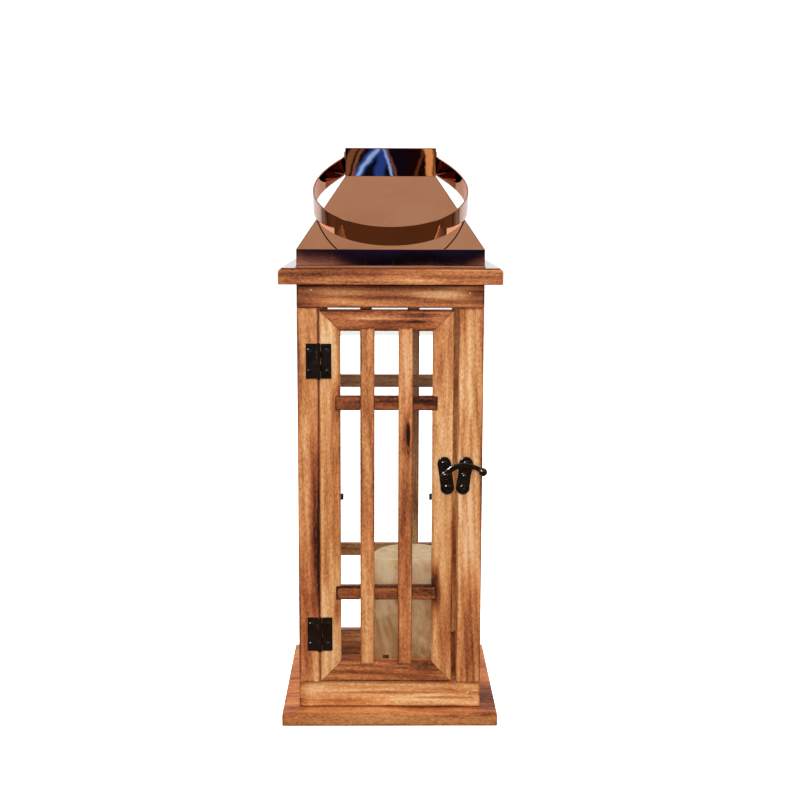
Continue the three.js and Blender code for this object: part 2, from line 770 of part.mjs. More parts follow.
/** The handle, lying forward on the roof. */
function handle() {
  const mesh = piece('handle_strap', strapGeometry(), colour.copper);
  mesh.rotation.x = Math.PI + restTilt();
  mesh.position.z = strapPivotZ;
  return mesh;
}

/** A rivet along +Z from the chimney's middle plane: tail, collar between wall and strap, head. */
function handleRivet(name, turn) {
  const { radius, tailRadius, tailFace, tailHeight, collarRadius } = rivet;
  const wallIn = chimney.half - sheet - FIT;
  const collarIn = chimney.half + FIT;
  const collarOut = chimney.half + strap.sideGap - FIT;
  const headIn = chimney.half + strap.sideGap + strap.thickness + FIT;
  const profile = [
    point(0, wallIn - tailHeight),
    point(tailFace, wallIn - tailHeight),
    point(tailRadius, wallIn),
    point(radius, wallIn),
    point(radius, collarIn),
    point(collarRadius, collarIn),
    point(collarRadius, collarOut),
    point(radius, collarOut),
    point(radius, headIn),
    ...domed(rivetHead, headIn),
  ];
  const mesh = piece(name, turned(profile), colour.copper);
  mesh.rotation.y = turn * Math.PI / 2;
  mesh.position.z = strapPivotZ;
  return mesh;
}

// -------------------------------------------------------------------- candle

function candleAndWick() {
  const { radius, height, edge, dish, dishRadius } = candle;
  const dishZ = height - dish;
  const hole = wick.radius + FIT;
  const group = new THREE.Group();
  group.position.set(candle.x, candle.y, board.baseThickness + SEAT);
  const body = turned([
    point(0, 0),
    point(radius, 0),
    ...arc(radius - edge, height - edge, edge, 0, 90, 4),
    point(dishRadius, dishZ),
    point(hole, dishZ),
    point(hole, dishZ - wick.depth),
    point(0, dishZ - wick.depth),
  ], CANDLE_ROUND);
  const thread = rod('z', wick.radius, dishZ - wick.depth + FIT, dishZ + wick.rise, HOLE_ROUND);
  group.add(piece('candle', body, colour.wax), piece('candle_wick', thread, colour.cotton));
  return group;
}

// ------------------------------------------------------------------- lantern

const doorLeafGroup = new THREE.Group();
doorLeafGroup.position.set(doorLeft, front, doorBottomZ);
doorLeafGroup.add(...doorFrame(), ...doorLatticeAndGlass(), ...glassClips());

const lantern = new THREE.Group();
lantern.name = 'hanging_lantern';
lantern.add(
  ...boards(),
  ...rails('bottom', railBottomZ, openBottomZ),
  ...rails('top', openTopZ, cabinetTopZ),
  ...posts(),
  ...fixedSides.map(fixedSide),
  doorLeafGroup,
  ...hinges(),
  latchDoorPlate(),
  latchCatchPlate(),
  latchArm(),
  latchPin(),
  roofCap(),
  chimneyBox(),
  handle(),
  handleRivet('handle_rivet_left', -1),
  handleRivet('handle_rivet_right', 1),
  candleAndWick(),
);

export default lantern;
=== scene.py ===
"""The look of the hanging lantern: torched fir, copper sheet, black iron, glass and wax.

Metres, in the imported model's frame: +Z up, +X to the right of someone facing the door.
"""
import json
import math
import random

import bmesh
import bpy
from mathutils import Matrix, Vector

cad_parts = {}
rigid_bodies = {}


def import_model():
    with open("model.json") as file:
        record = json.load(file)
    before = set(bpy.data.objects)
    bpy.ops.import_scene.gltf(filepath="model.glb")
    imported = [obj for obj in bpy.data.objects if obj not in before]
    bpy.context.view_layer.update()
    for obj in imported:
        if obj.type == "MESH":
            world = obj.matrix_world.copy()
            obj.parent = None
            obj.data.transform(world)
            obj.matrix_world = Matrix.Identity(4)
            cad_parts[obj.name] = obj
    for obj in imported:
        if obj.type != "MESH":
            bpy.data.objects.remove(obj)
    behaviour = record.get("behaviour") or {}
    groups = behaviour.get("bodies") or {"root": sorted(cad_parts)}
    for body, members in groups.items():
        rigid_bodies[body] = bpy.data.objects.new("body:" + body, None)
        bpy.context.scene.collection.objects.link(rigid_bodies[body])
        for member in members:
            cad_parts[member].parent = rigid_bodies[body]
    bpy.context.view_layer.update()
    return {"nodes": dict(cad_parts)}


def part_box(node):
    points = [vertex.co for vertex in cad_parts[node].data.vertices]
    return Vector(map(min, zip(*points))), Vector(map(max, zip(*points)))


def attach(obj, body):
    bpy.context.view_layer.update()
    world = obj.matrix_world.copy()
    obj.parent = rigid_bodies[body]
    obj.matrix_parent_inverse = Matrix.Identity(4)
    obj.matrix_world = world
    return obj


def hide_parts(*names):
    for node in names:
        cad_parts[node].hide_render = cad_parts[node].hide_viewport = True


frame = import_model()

nodes = frame["nodes"]
scene = bpy.context.scene
MM = 0.001


# ---------------------------------------------------------------- node graphs

def linear(red, green, blue):
    """A colour given in 0-255 display values, as the shader's linear RGBA."""
    def decode(value):
        value /= 255
        return value / 12.92 if value <= 0.04045 else ((value + 0.055) / 1.055) ** 2.4
    return decode(red), decode(green), decode(blue), 1.0


class Graph:
    """The node tree of a new material, or of the world, with short calls for the nodes used here."""

    def __init__(self, name, world=None):
        self.owner = world or bpy.data.materials.new(name)
        self.owner.use_nodes = True
        self.tree = self.owner.node_tree
        self.tree.nodes.clear()
        self.coordinates = self.node("ShaderNodeTexCoord").outputs
        self.place = self.coordinates["Object"]

    def node(self, kind, inputs=None, **settings):
        """A new node, its inputs fed by index or by name."""
        node = self.tree.nodes.new(kind)
        for key, value in settings.items():
            setattr(node, key, value)
        for key, value in (inputs or {}).items():
            self.feed(node.inputs[key], value)
        return node

    def feed(self, socket, value):
        """Links another node's output to a socket, or sets the socket's own value."""
        if isinstance(value, bpy.types.NodeSocket):
            self.tree.links.new(value, socket)
        else:
            socket.default_value = value

    def math(self, operation, first, second=0.0):
        return self.node("ShaderNodeMath", {0: first, 1: second}, operation=operation).outputs[0]

    def centred(self, value, size):
        """A value from 0 to 1 turned into one of the given size about zero."""
        return self.math("MULTIPLY", self.math("SUBTRACT", value, 0.5), size)

    def vector(self, operation, first, second=(0.0, 0.0, 0.0)):
        return self.node("ShaderNodeVectorMath", {0: first, 1: second}, operation=operation).outputs[0]

    def parts(self, vector):
        """The X, Y and Z of a vector."""
        return self.node("ShaderNodeSeparateXYZ", {0: vector}).outputs

    def noise(self, stretch, detail=2.0, roughness=0.5, shift=0.0, distortion=0.0):
        """Noise from 0 to 1, with its own number of cells in a metre along each axis."""
        offset = (shift * 1.7, shift * 2.9, shift * 4.3)
        spot = self.vector("ADD", self.vector("MULTIPLY", self.place, stretch), offset)
        return self.node("ShaderNodeTexNoise", {
            "Vector": spot, "Scale": 1.0, "Detail": detail, "Roughness": roughness, "Distortion": distortion,
        }).outputs[0]

    def spread(self, value, low, high, to_low=0.0, to_high=1.0, smooth=True):
        """A value mapped from one range to another and kept in it."""
        return self.node("ShaderNodeMapRange", {
            "Value": value, "From Min": low, "From Max": high, "To Min": to_low, "To Max": to_high,
        }, clamp=True, interpolation_type="SMOOTHSTEP" if smooth else "LINEAR").outputs[0]

    def ramp(self, value, stops):
        """A colour from (position, colour) stops."""
        node = self.node("ShaderNodeValToRGB", {0: value})
        elements = node.color_ramp.elements
        while len(elements) < len(stops):
            elements.new(0.5)
        for element, (position, colour) in zip(elements, stops):
            element.position = position
            element.color = colour
        return node.outputs[0]

    def mix(self, factor, first, second, blend="MIX"):
        return self.node("ShaderNodeMix", {0: factor, 6: first, 7: second},
                         data_type="RGBA", blend_type=blend).outputs[2]

    def bump(self, height, depth, strength=1.0, normal=None):
        inputs = {"Height": height, "Distance": depth, "Strength": strength}
        if normal is not None:
            inputs["Normal"] = normal
        return self.node("ShaderNodeBump", inputs).outputs[0]

    def mix_shaders(self, factor, first, second):
        return self.node("ShaderNodeMixShader", {0: factor, 1: first, 2: second}).outputs[0]

    def surface(self, shader):
        self.node("ShaderNodeOutputMaterial", {"Surface": shader})
        return self.owner

    def glow(self, colour):
        """The whole material as a plain light of this colour."""
        return self.surface(self.node("ShaderNodeEmission", {"Color": colour, "Strength": 1.0}).outputs[0])

    def principled(self, **inputs):
        named = {key.replace("_", " "): value for key, value in inputs.items()}
        return self.surface(self.node("ShaderNodeBsdfPrincipled", named).outputs[0])


def dress(node, material):
    """Gives a CAD node its material."""
    data = nodes[node].data
    data.materials.clear()
    data.materials.append(material)


# ----------------------------------------------------------------------- wood

#: The wood's colours, from the palest early wood to char.
WOOD_STOPS = [
    (0.00, linear(249, 213, 163)),
    (0.16, linear(237, 182, 123)),
    (0.32, linear(218, 151, 91)),
    (0.48, linear(192, 120, 68)),
    (0.64, linear(158, 89, 48)),
    (0.80, linear(114, 59, 31)),
    (0.92, linear(71, 35, 18)),
    (1.00, linear(36, 17, 9)),
]
RED_TINT = linear(250, 220, 222)
CHAFED_WOOD = linear(224, 178, 128)
#: One growth ring, from a ring's start to the next: early wood is 0, and the dark late wood is 1.
RING_STOPS = [(0.0, 0.25), (0.18, 0.0), (0.45, 0.12), (0.80, 0.9), (0.90, 1.0), (1.0, 0.25)]
#: How far each unevenness moves a timber's tone, from one extreme to the other.
FIBRE_TONE, STREAK_TONE, BROAD_TONE, MOTTLE_TONE = 0.38, 0.46, 1.05, 0.85
#: How far the pith wanders along the grain, and how far each ring wavers about it.
PITH_WANDER = 10 * MM
RING_WAVER = 3.5 * MM
#: Knots push the rings aside by this much, out to this many times their own size.
KNOT_PUSH = 10 * MM
KNOT_REACH = 3.2
#: The edges are scorched this far in, and unevenly by this much; they are chafed pale less far.
SCORCH_WIDTH = 2 * MM
SCORCH_RAGGED = 5 * MM
CHAFED_WIDTH = 0.6 * MM
AXES = "XYZ"


def stretched(grain, along, across):
    """Cells in a metre along the grain and across it, as a vector."""
    return tuple(along if axis == grain else across for axis in AXES)


def wood(name, grain, tone=0.42, rings=6.5, pith=(30, 40), lean=(0.02, 0.03), contrast=0.22, scorch=0.26,
         red=0.25, uneven=1.0, edge=0.3, patches=(), knots=(), seed=0):
    """Torched fir for one timber: growth rings round a pith that leans along the grain, fibres,
    scorched clouds and edges, and its own patches and knots, as TIMBERS lists them. Rings, pith,
    patches and knots are in mm; tone goes from 0, pale, to 1, charred."""
    g = Graph(f"wood_{name}")
    low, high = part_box(name)
    centre = (Vector(low) + Vector(high)) / 2
    half = (Vector(high) - Vector(low)) / 2
    inside = g.vector("SUBTRACT", g.place, tuple(centre))
    parts = g.parts(inside)
    along = parts[AXES.index(grain)]
    first, second = [parts[i] for i in range(3) if AXES[i] != grain]
    centred = g.centred

    def from_spot(spot, reach):
        """Distance from a place, in its own reach along each axis."""
        offset = g.vector("SUBTRACT", g.place, tuple(Vector(spot) * MM))
        scaled = g.vector("MULTIPLY", offset, tuple(1 / (size * MM) for size in reach))
        return g.node("ShaderNodeVectorMath", {0: scaled}, operation="LENGTH").outputs["Value"]

    # Unevenness of the tone, from the finest fibres to the broadest bands.
    fibre = g.noise(stretched(grain, 30, 620), 3, 0.7, seed + 5)
    streak = g.noise(stretched(grain, 6, 190), 3, 0.6, seed + 9)
    mottle = g.noise(stretched(grain, 300, 640), 3, 0.75, seed + 11)
    cloud = g.noise(stretched(grain, 9, 60), 3, 0.6, seed + 13, 0.3)
    broad = g.noise(stretched(grain, 7, 42), 2, 0.5, seed + 29, 0.5)

    # Unevenness of the rings.
    wander = g.noise(stretched(grain, 3.5, 12), 2, 0.5, seed)
    waver = g.noise(stretched(grain, 9, 60), 2, 0.5, seed + 3)

    def off_pith(value, offset, slope):
        """Squared distance from the pith, across one axis."""
        leaning = g.math("ADD", g.math("MULTIPLY", along, slope), offset * MM)
        bent = g.math("ADD", leaning, centred(wander, PITH_WANDER))
        return g.math("POWER", g.math("ADD", value, bent), 2.0)

    squared = g.math("ADD", off_pith(first, pith[0], lean[0]), off_pith(second, pith[1], lean[1]))
    radius = g.math("ADD", g.math("SQRT", squared), centred(waver, RING_WAVER))
    pulls = [from_spot(knot[:3], [knot[4] if axis == grain else knot[3] for axis in AXES])
             for knot in knots]
    for pull in pulls:
        radius = g.math("ADD", radius, g.spread(pull, 0.0, KNOT_REACH, KNOT_PUSH, 0.0))
    phase = g.math("FRACT", g.math("DIVIDE", radius, rings * MM))
    late = g.ramp(phase, [(position, (grey, grey, grey, 1)) for position, grey in RING_STOPS])
    fade = g.spread(g.noise(stretched(grain, 8, 45), 2, 0.5, seed + 23), 0.3, 0.65, 0.25, 1.0)

    value = g.math("ADD", g.math("MULTIPLY", centred(late, contrast), fade), tone)
    value = g.math("ADD", value, centred(fibre, FIBRE_TONE))
    value = g.math("ADD", value, centred(streak, STREAK_TONE * uneven))
    value = g.math("ADD", value, centred(broad, BROAD_TONE * uneven))
    value = g.math("ADD", value, centred(mottle, MOTTLE_TONE))
    value = g.math("ADD", value, g.math("MULTIPLY", g.spread(cloud, 0.46, 0.74), scorch))
    for patch in patches:
        ragged = g.math("ADD", from_spot(patch[:3], patch[3:6]), centred(streak, 0.8))
        ragged = g.math("ADD", ragged, centred(mottle, 0.25))
        value = g.math("ADD", value, g.spread(ragged, 0.2, 1.15, patch[6], 0.0))

    # The distance to the nearest edge is the second smallest of the distances to the faces.
    gaps = g.vector("SUBTRACT", tuple(half), g.vector("ABSOLUTE", inside))
    x, y, z = g.parts(gaps)
    nearest = g.math("MAXIMUM", g.math("MINIMUM", x, y), g.math("MINIMUM", g.math("MAXIMUM", x, y), z))
    ragged_edge = g.math("ADD", nearest, centred(cloud, SCORCH_RAGGED))
    value = g.math("ADD", value, g.spread(ragged_edge, 0.0, SCORCH_WIDTH, edge, 0.0))
    for pull in pulls:
        heart = g.math("ADD", pull, centred(streak, 0.5))
        value = g.math("ADD", value, g.spread(heart, 0.55, 1.35, 0.6, 0.0))
        value = g.math("ADD", value, g.spread(pull, 0.0, 3.0, 0.14, 0.0))

    colour = g.ramp(value, WOOD_STOPS)
    blush = g.spread(g.noise(stretched(grain, 6, 70), 2, 0.5, seed + 17), 0.3, 0.7, 0.0, red)
    colour = g.mix(blush, colour, g.mix(1.0, colour, RED_TINT, "MULTIPLY"))
    chafed = g.spread(g.noise((60, 60, 60), 2, 0.6, seed + 19), 0.45, 0.7)
    worn = g.math("MULTIPLY", g.spread(nearest, 0.0, CHAFED_WIDTH, 0.22, 0.0), chafed)
    colour = g.mix(worn, colour, CHAFED_WOOD)

    sheen = g.spread(fibre, 0.3, 0.7, 0.48, 0.64)
    height = g.math("ADD", g.math("MULTIPLY", late, 0.5), g.math("MULTIPLY", fibre, 0.8))
    return g.principled(Base_Color=colour, Roughness=sheen, Specular_IOR_Level=0.35,
                        Normal=g.bump(height, 0.2 * MM, 0.6))


#: What sets each timber at the front apart, in mm. A patch: middle (x, y, z), reach (x, y, z), and how
#: much darker, or paler, it is. A knot: middle (x, y, z), size across the grain, size along it.
TIMBERS = {
    "base_board": dict(
        grain="X", tone=0.44, rings=12, pith=(20, 75), red=0.05, scorch=0.26, edge=0.2, contrast=0.06,
        uneven=0.55,
        patches=[
            # Painted shadow: this patch darkens the base board's top to the right of the cabinet.
            (92, -60, 13, 20, 60, 8, 0.3),
            (-88, -86, 13, 14, 12, 6, 0.25),
            (-98, -10, 17, 22, 90, 4, 0.16),
            (98, -10, 17, 22, 90, 4, 0.18),
        ],
    ),
    "top_board": dict(
        grain="X", tone=0.46, rings=5, pith=(60, 35), red=0.5, scorch=0.2, contrast=0.12, edge=-0.1,
        patches=[
            (-60, -100, 414, 30, 10, 5, -0.2),
            (30, -100, 413, 26, 10, 4, -0.16),
        ],
    ),
    "bottom_rail_front": dict(
        grain="X", tone=0.28, rings=7, pith=(50, 20), red=0.15, scorch=0.2, contrast=0.3,
        patches=[
            (-84, -85, 24, 10, 12, 20, 0.25),
            (0, -85, 12, 140, 12, 3.5, 0.5),
            (-10, -85, 27, 70, 10, 2.0, 0.34),
            (50, -85, 22, 40, 10, 1.6, 0.34),
        ],
    ),
    "top_rail_front": dict(
        grain="X", tone=0.43, rings=8, pith=(25, 28), red=0.3, scorch=0.28, contrast=0.22,
        patches=[
            (-84, -85, 398, 30, 30, 16, 0.3),
            # Painted shade under the top board's overhang, over some real scorch: a dark band along the
            # rail's upper edge.
            (0, -85, 412, 150, 30, 6.5, 0.62),
            (84, -85, 400, 20, 30, 14, 0.24),
            (-10, -85, 398, 50, 30, 5, 0.2),
            (40, -85, 400, 30, 30, 5, -0.24),
            (0, -85, 386, 150, 30, 3, -0.16),
        ],
    ),
    "post_front_left": dict(
        grain="Z", tone=0.38, rings=8, pith=(26, 30), red=0.5, scorch=0.26,
        patches=[
            (-68, -85, 190, 8, 40, 120, 0.46),
            (-84, -85, 330, 8, 40, 40, 0.12),
            (-78, -85, 60, 16, 40, 40, 0.14),
        ],
    ),
    "post_front_right": dict(
        grain="Z", tone=0.30, rings=6, pith=(22, 24), lean=(0.02, 0.05), red=0.45, scorch=0.22,
        patches=[
            (63, -85, 230, 4, 30, 190, -0.22),
            (87, -85, 230, 7, 30, 90, 0.26),
            (76, -85, 90, 10, 30, 70, 0.30),
            (70, -85, 340, 9, 30, 60, -0.14),
        ],
    ),
    "door_stile_left": dict(
        grain="Z", tone=0.20, rings=7, pith=(34, 24), red=0.12, scorch=0.22, contrast=0.16,
        patches=[
            (-49, -85, 300, 6, 20, 26, 0.34),
            (-46, -85, 365, 6, 20, 30, 0.22),
            (-48, -85, 110, 5, 20, 16, 0.25),
        ],
    ),
    "door_stile_right": dict(
        grain="Z", tone=0.28, rings=7, pith=(20, 30), red=0.2, scorch=0.24, contrast=0.16,
        patches=[
            (42, -85, 128, 6, 20, 24, 0.5),
            (54, -85, 95, 10, 20, 46, 0.26),
            (45, -85, 330, 6, 20, 30, 0.14),
        ],
    ),
    "door_rail_top": dict(
        grain="X", tone=0.62, rings=6, pith=(30, 22), red=0.5, scorch=0.22,
        patches=[
            (50, -85, 378, 18, 20, 12, -0.3),
            (-10, -85, 378, 50, 20, 1.8, -0.34),
        ],
    ),
    "door_rail_bottom": dict(
        grain="X", tone=0.56, rings=6, pith=(24, 26), red=0.3, scorch=0.28,
        patches=[(40, -85, 46, 30, 20, 14, 0.22)],
    ),
    "door_upright_a": dict(
        grain="Z", tone=0.41, rings=7, pith=(18, 26), red=0.3, scorch=0.22, contrast=0.14,
    ),
    "door_upright_b": dict(
        grain="Z", tone=0.42, rings=6, pith=(22, 18), red=0.6, scorch=0.3, contrast=0.14,
        knots=[(16.4, -84, 272, 1.5, 10)],
        patches=[
            (15, -84, 270, 5, 20, 30, 0.25),
            (16, -84, 190, 6, 20, 60, 0.12),
        ],
    ),
    "door_bar_lower": dict(
        grain="X", tone=0.80, rings=6, pith=(26, 30), red=0.75, scorch=0.24, contrast=0.14,
    ),
    "door_bar_upper": dict(
        grain="X", tone=0.66, rings=6, pith=(30, 22), red=0.75, scorch=0.26, contrast=0.14,
    ),
}
#: The grain of every other timber, by the start of its name; the rails of the two sides run along Y.
GRAINS = {
    "bottom_rail": "X", "top_rail": "X", "post": "Z",
    "left_upright": "Z", "back_upright": "Z", "right_upright": "Z",
    "left_bar": "Y", "back_bar": "X", "right_bar": "Y",
}
SIDE_RAILS = ("bottom_rail_left", "bottom_rail_right", "top_rail_left", "top_rail_right")


def bevelled(obj, width, angle=35.0):
    """Rounds the edges of an object that are sharper than the angle, and smooths the shading across them.
    Points that coincide and faces in one plane are joined first, so that the rounding runs evenly."""
    for polygon in obj.data.polygons:
        polygon.use_smooth = True
    weld = obj.modifiers.new("weld", "WELD")
    weld.merge_threshold = 1e-6
    merge = obj.modifiers.new("merge", "DECIMATE")
    merge.decimate_type = "DISSOLVE"
    merge.angle_limit = math.radians(0.8)
    bevel = obj.modifiers.new("bevel", "BEVEL")
    bevel.width = width
    bevel.segments = 2
    bevel.limit_method = "ANGLE"
    bevel.angle_limit = math.radians(angle)
    bevel.miter_outer = "MITER_ARC"
    normals = obj.modifiers.new("normals", "WEIGHTED_NORMAL")
    normals.keep_sharp = True


draw = random.Random(11)
for name in sorted(node for node in nodes if node not in TIMBERS):
    starts = [start for start in GRAINS if name.startswith(start)]
    if not starts or name.endswith("glass"):
        continue
    TIMBERS[name] = dict(
        grain="Y" if name in SIDE_RAILS else GRAINS[starts[0]],
        tone=draw.uniform(0.34, 0.5), rings=draw.uniform(5.5, 8.0),
        pith=(draw.uniform(16, 40), draw.uniform(16, 40)), red=draw.uniform(0.15, 0.5),
        scorch=draw.uniform(0.2, 0.38),
    )
for index, (name, look) in enumerate(sorted(TIMBERS.items())):
    dress(name, wood(name, seed=7.3 * index + 1, **look))
    bevelled(nodes[name], 0.7 * MM)


# --------------------------------------------------------------- other finishes

def copper(name, seed, seams=False):
    """Lacquered copper sheet, polished, rolled nearly flat, with faint wipe marks and specks;
    with seams, the folded corners of a square cap show as thin dark lines."""
    g = Graph(name)
    tarnish = g.noise((16, 16, 16), 4, 0.6, seed, 0.6)
    wipe = g.noise((260, 30, 30), 3, 0.6, seed + 2)
    grit = g.noise((900, 900, 900), 2, 0.5, seed + 4)
    colour = g.ramp(g.math("ADD", g.math("MULTIPLY", tarnish, 0.8), g.math("MULTIPLY", grit, 0.2)), [
        (0.25, linear(236, 200, 180)),
        (0.55, linear(228, 188, 166)),
        (0.80, linear(210, 166, 142)),
    ])
    if seams:
        x, y, _ = g.parts(g.vector("ABSOLUTE", g.place))
        off_hip = g.math("ABSOLUTE", g.math("SUBTRACT", x, y))
        colour = g.mix(g.spread(off_hip, 0.3 * MM, 0.9 * MM, 0.85, 0.0), colour, linear(60, 30, 22))
    rough = g.math("ADD", g.spread(tarnish, 0.3, 0.75, 0.006, 0.022), g.spread(wipe, 0.55, 0.8, 0.0, 0.02))
    swell = g.noise((17, 17, 17), 1, 0.4, seed + 6)
    wave = g.bump(swell, 1.5 * MM, 0.03)
    return g.principled(Base_Color=colour, Metallic=1.0, Roughness=rough,
                        Normal=g.bump(grit, 0.008 * MM, 0.12, wave))


def black_iron(name, cast, seed, light=1.0):
    """Black lacquered iron: cast is how coarse its surface is, and light how much of it is rubbed."""
    g = Graph(name)
    grain = g.noise((170, 170, 170), 2, 0.5, seed)
    blotch = g.noise((110, 110, 110), 3, 0.6, seed + 2)
    rub = g.spread(g.noise((190, 190, 190), 3, 0.7, seed + 4), 0.62, 0.78)
    colour = g.ramp(blotch, [(0.3, linear(6, 5, 5)), (0.7, linear(17, 14, 13))])
    colour = g.mix(g.math("MULTIPLY", rub, 0.25 * light), colour, linear(70, 60, 54))
    rough = g.math("ADD", g.spread(blotch, 0.3, 0.7, 0.14, 0.26), g.math("MULTIPLY", rub, 0.12))
    return g.principled(Base_Color=colour, Roughness=rough, Specular_IOR_Level=0.7,
                        Coat_Weight=0.9, Coat_Roughness=0.03,
                        Normal=g.bump(grain, 0.12 * MM, cast))


def window_glass(name):
    """Clear thin glass with a trace of dust: it mirrors more the more it is seen edge on."""
    g = Graph(name)
    dust = g.noise((9, 9, 9), 3, 0.5, 0, 0.3)
    smear = g.noise((12, 12, 60), 3, 0.6, 2, 1.0)
    clear = g.node("ShaderNodeBsdfTransparent", {"Color": (0.975, 0.985, 0.98, 1)}).outputs[0]
    gloss = g.node("ShaderNodeBsdfGlossy", {
        "Color": (1, 1, 1, 1), "Roughness": g.spread(smear, 0.4, 0.75, 0.005, 0.02),
    }).outputs[0]
    film = g.node("ShaderNodeBsdfDiffuse", {"Color": linear(238, 214, 184)}).outputs[0]
    facing = g.node("ShaderNodeLayerWeight", {"Blend": 0.5}).outputs["Facing"]
    mirror = g.math("ADD", g.math("MULTIPLY", g.math("POWER", facing, 5.0), 0.9), 0.035)
    pane = g.mix_shaders(mirror, clear, gloss)
    haze = g.spread(dust, 0.3, 0.8, 0.016, 0.032)
    return g.surface(g.mix_shaders(haze, pane, film))


def candle_wax(name):
    """Ivory wax: mottled and bloomed, with painted light and shade: paler towards the top, darker and warmer
    low down.
    """
    g = Graph(name)
    low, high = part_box("candle")
    mottle = g.noise((52, 52, 30), 5, 0.65, 2, 0.8)
    bloom = g.noise((150, 150, 90), 3, 0.65, 5)
    # Painted light and shade: the wax is made paler up top and darker and warmer towards the foot.
    painted_light_by_height = g.spread(g.parts(g.place)[2], low[2], high[2], 0.10, -0.22)
    tone = g.math("ADD", g.math("ADD", g.math("MULTIPLY", mottle, 1.1), g.math("MULTIPLY", bloom, 0.3)), painted_light_by_height)
    colour = g.ramp(tone, [
        (0.30, linear(255, 240, 212)),
        (0.55, linear(244, 214, 166)),
        (0.80, linear(192, 148, 100)),
    ])
    height = g.math("ADD", mottle, g.math("MULTIPLY", bloom, 0.3))
    return g.principled(Base_Color=colour, Roughness=g.spread(bloom, 0.3, 0.7, 0.42, 0.6),
                        Subsurface_Weight=0.2, Subsurface_Scale=0.003, Specular_IOR_Level=0.4,
                        Normal=g.bump(height, 0.6 * MM, 0.5))


def wick_cotton(name):
    """Waxed, charred cotton."""
    g = Graph(name)
    thread = g.noise((1400, 1400, 500), 3, 0.6, 1)
    colour = g.ramp(thread, [(0.3, linear(38, 30, 24)), (0.7, linear(86, 74, 60))])
    return g.principled(Base_Color=colour, Roughness=0.9, Normal=g.bump(thread, 0.15 * MM, 0.8))


def filler(name):
    """Pale putty over a nail head."""
    g = Graph(name)
    grain = g.noise((1500, 1500, 1500), 3, 0.6, 3)
    colour = g.ramp(grain, [(0.3, linear(216, 184, 146)), (0.7, linear(248, 232, 208))])
    return g.principled(Base_Color=colour, Roughness=g.spread(grain, 0.3, 0.7, 0.45, 0.65),
                        Normal=g.bump(grain, 0.05 * MM, 0.5))


COPPER = copper("copper_sheet", 1, True)
COPPER_STRAP = copper("copper_strap", 8)
HINGE_BLACK = black_iron("hinge_lacquer", 0.15, 1)
LATCH_BLACK = black_iron("latch_lacquer", 0.3, 7)
SCREW_BLACK = black_iron("screw_lacquer", 0.1, 12, 2.4)
GLASS = window_glass("window_glass")
WAX = candle_wax("candle_wax")
COTTON = wick_cotton("wick_cotton")
BRAD = filler("nail_filler")

for name in nodes:
    if name.endswith("glass"):
        dress(name, GLASS)
        bevelled(nodes[name], 0.3 * MM)
    elif name.startswith(("hinge", "door_clip")):
        dress(name, HINGE_BLACK)
        bevelled(nodes[name], 0.2 * MM)
    elif name.startswith("latch"):
        dress(name, LATCH_BLACK)
        bevelled(nodes[name], 0.4 * MM)
for name in ("roof_cap", "chimney", "handle_strap", "handle_rivet_left", "handle_rivet_right"):
    dress(name, COPPER_STRAP if name.startswith("handle") else COPPER)
    bevelled(nodes[name], 0.3 * MM, 25.0)
dress("candle", WAX)
dress("candle_wick", COTTON)


# ------------------------------------------------------------- modelled pieces

def corners(node):
    """A CAD node's lowest and highest corners at rest."""
    return [Vector(corner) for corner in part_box(node)]


def middle_of(low, high):
    """The middle of a box in plan, on its underside."""
    return Vector(((low.x + high.x) / 2, (low.y + high.y) / 2, low.z))


def finish_piece(name, bm, body, material, sharp=40.0):
    """Turns a bmesh in world coordinates into a piece that rides on its body."""
    bmesh.ops.recalc_face_normals(bm, faces=bm.faces)
    mesh = bpy.data.meshes.new(name)
    bm.to_mesh(mesh)
    bm.free()
    for polygon in mesh.polygons:
        polygon.use_smooth = True
    mesh.set_sharp_from_angle(angle=math.radians(sharp))
    mesh.materials.append(material)
    obj = bpy.data.objects.new(name, mesh)
    scene.collection.objects.link(obj)
    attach(obj, body)
    return obj


def placed(origin, axis):
    """The matrix that puts a shape drawn about +Z at a place, facing along an axis."""
    return Matrix.Translation(origin) @ Vector(axis).to_track_quat("Z", "Y").to_matrix().to_4x4()


def random_turn():
    """Any turn about +Z, for the cross of a screw."""
    return Matrix.Rotation(draw.uniform(0, math.pi), 4, "Z")


def skin(bm, rings):
    """Faces between rings of vertices; a ring of one vertex is a tip."""
    for near, far in zip(rings, rings[1:]):
        count = max(len(near), len(far))
        for i in range(count):
            face = []
            for vert in (near[i % len(near)], near[(i + 1) % len(near)],
                         far[(i + 1) % len(far)], far[i % len(far)]):
                if vert not in face:
                    face.append(vert)
            bm.faces.new(face)


def capped(bm, rings):
    """Faces between rings of vertices and over both ends."""
    skin(bm, rings)
    bm.faces.new(rings[0])
    bm.faces.new(rings[-1])


def ring_of(bm, points, matrix=Matrix()):
    """A vertex at each point, once the matrix has moved it."""
    return [bm.verts.new(matrix @ Vector(point)) for point in points]


def lathe(bm, profile, matrix, steps=32, shape=None):
    """A solid of revolution from (radius, height) points; shape may move each point."""
    rings = []
    for radius, height in profile:
        count = steps if radius > 0 else 1
        points = []
        for i in range(count):
            angle = 2 * math.pi * i / steps
            point = Vector((radius * math.cos(angle), radius * math.sin(angle), height))
            points.append(shape(point, angle) if shape and radius > 0 else point)
        rings.append(ring_of(bm, points, matrix))
    skin(bm, rings)
    return rings


def cross_outline(arm, half_width):
    """Corners of a plus sign, anticlockwise."""
    quarter = [(arm, -half_width), (arm, half_width), (half_width, half_width)]
    outline = []
    for turn in range(4):
        for x, y in quarter:
            for _ in range(turn):
                x, y = -y, x
            outline.append((x, y))
    return outline


